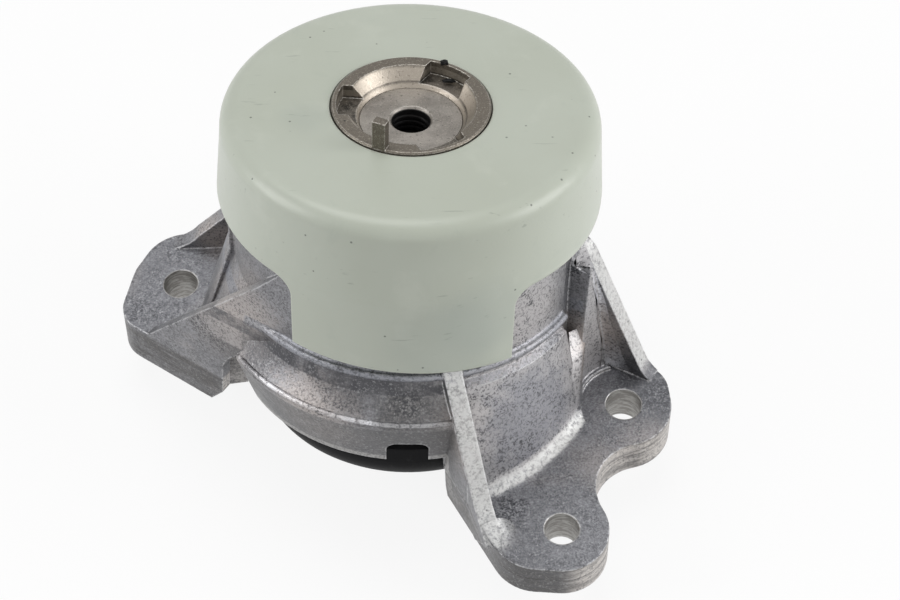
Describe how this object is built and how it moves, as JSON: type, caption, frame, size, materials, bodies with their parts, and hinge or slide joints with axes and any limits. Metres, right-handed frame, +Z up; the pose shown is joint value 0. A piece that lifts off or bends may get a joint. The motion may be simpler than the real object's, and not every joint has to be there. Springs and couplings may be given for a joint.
{
  "type": "engine mount",
  "caption": "Hydraulic engine mount: die-cast bracket with a leaning pot, rubber spring and fluid stack inside, threaded core and a plastic cover cap with a long front tongue.",
  "frame": {"origin": "centre of the front bolt hole, on the flanges' seat plane", "axes": "+Z up out of the seat plane along the bolt holes, +X from the left flange towards the right one, -Y towards the side with the cap's long tongue; the pot's axis leans 11.4 degrees from +Z, mostly towards +Y"},
  "size_m": [0.157, 0.144, 0.1175],
  "materials": {
    "cast_aluminium": "as cast, machined seats",
    "mint_plastic": "matt moulded",
    "core_metal": "plated casting",
    "insert_steel": "turned and plated",
    "cup_black": "black coated",
    "sleeve_steel": "phosphated",
    "black_rubber": "moulded",
    "plate_aluminium": "die-cast",
    "ring_steel": "spring steel"
  },
  "bodies": {
    "root": {"bracket_housing": "cast_aluminium", "cover_cap": "mint_plastic", "core": "core_metal", "core_insert": "insert_steel", "bottom_cup": "cup_black", "outer_sleeve": "sleeve_steel", "main_spring": "black_rubber", "rebound_buffer": "black_rubber", "channel_gasket": "black_rubber", "upper_channel_plate": "plate_aluminium", "decoupler_membrane": "black_rubber", "lower_channel_plate": "plate_aluminium", "bellows": "black_rubber", "bellows_ring": "ring_steel", "retaining_ring": "ring_steel"}
  },
  "joints": []
}
